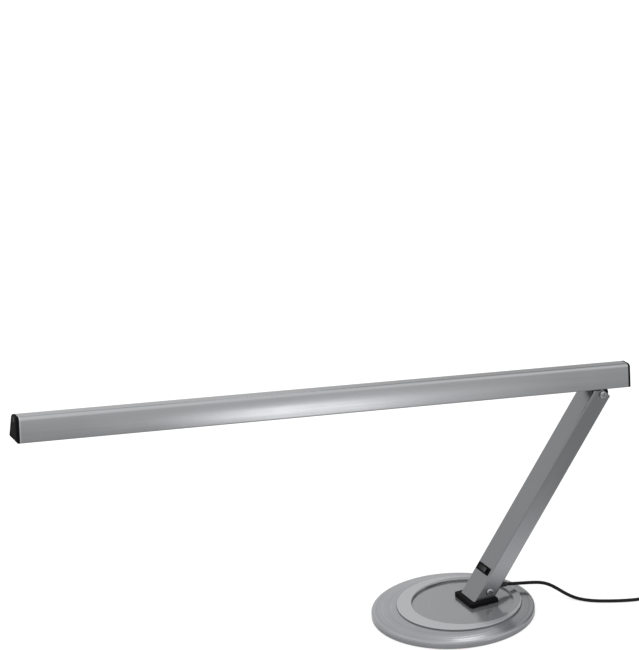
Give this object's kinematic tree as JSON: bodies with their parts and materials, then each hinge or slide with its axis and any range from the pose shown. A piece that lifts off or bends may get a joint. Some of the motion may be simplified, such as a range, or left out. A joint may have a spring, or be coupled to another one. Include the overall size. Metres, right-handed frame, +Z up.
{
  "type": "manicure table lamp",
  "caption": "Free-standing manicure lamp with a round weighted base, a leaning rectangular arm and a long slim tube-light head that tilts up on a friction hinge.",
  "frame": {"origin": "on the table under the centre of the round base", "axes": "+Z up; -X is where the head points; the lamp is symmetrical about the XZ plane"},
  "size_m": [0.7262, 0.17, 0.3145],
  "materials": {
    "satin_silver_paint": "satin",
    "polished_plate": "polished",
    "anodised_grey": "satin",
    "black_plastic": "matte",
    "black_gloss_plastic": "gloss",
    "zinc_steel": "satin",
    "nylon": "matte",
    "cast_iron": "rough",
    "black_rubber": "matte",
    "cord_sheath": "satin",
    "nickel_brass": "polished",
    "white_enamel": "gloss",
    "white_plastic": "matte",
    "opal_acrylic": "frosted",
    "lamp_glass": "coated"
  },
  "bodies": {
    "stand": {"base_cover": "satin_silver_paint", "base_dish": "polished_plate", "base_weight": "cast_iron", "base_pad": "black_rubber", "foot_block": "black_plastic", "foot_bolts": "zinc_steel", "arm_tube": "anodised_grey", "foot_screw": "zinc_steel", "foot_nut": "zinc_steel", "pivot_bolt": "zinc_steel", "pivot_nut": "zinc_steel", "friction_washers": "nylon", "ballast": "white_plastic", "switch_housing": "black_plastic", "switch_terminals": "nickel_brass", "cord_grip": "black_rubber", "power_cord": "cord_sheath", "cord_coil": "cord_sheath", "cord_tie": "black_plastic", "plug_body": "black_plastic", "plug_pins": "nickel_brass"},
    "head": {"head_profile": "anodised_grey", "front_end_cap": "black_plastic", "rear_end_cap": "black_plastic", "end_cap_screws": "zinc_steel", "hinge_lug": "black_plastic", "hinge_clamp": "zinc_steel", "hinge_screws": "zinc_steel", "reflector": "white_enamel", "lamp_holder_front": "white_plastic", "lamp_holder_rear": "white_plastic", "tube_glass": "lamp_glass", "tube_end_caps": "polished_plate", "tube_pins": "nickel_brass", "diffuser": "opal_acrylic"},
    "rocker": {"switch_rocker": "black_gloss_plastic"}
  },
  "joints": [
    {"name": "head_tilt", "type": "hinge", "parent": "stand", "child": "head", "pos_m": [0.17726, 0, 0.20972], "axis": [0, 1, 0], "range_deg": [0, 41]},
    {"name": "rocker_tilt", "type": "hinge", "parent": "stand", "child": "rocker", "pos_m": [0.03977, 0, 0.03959], "axis": [0.6004, 0, 0.7997], "range_deg": [0, 14]}
  ]
}
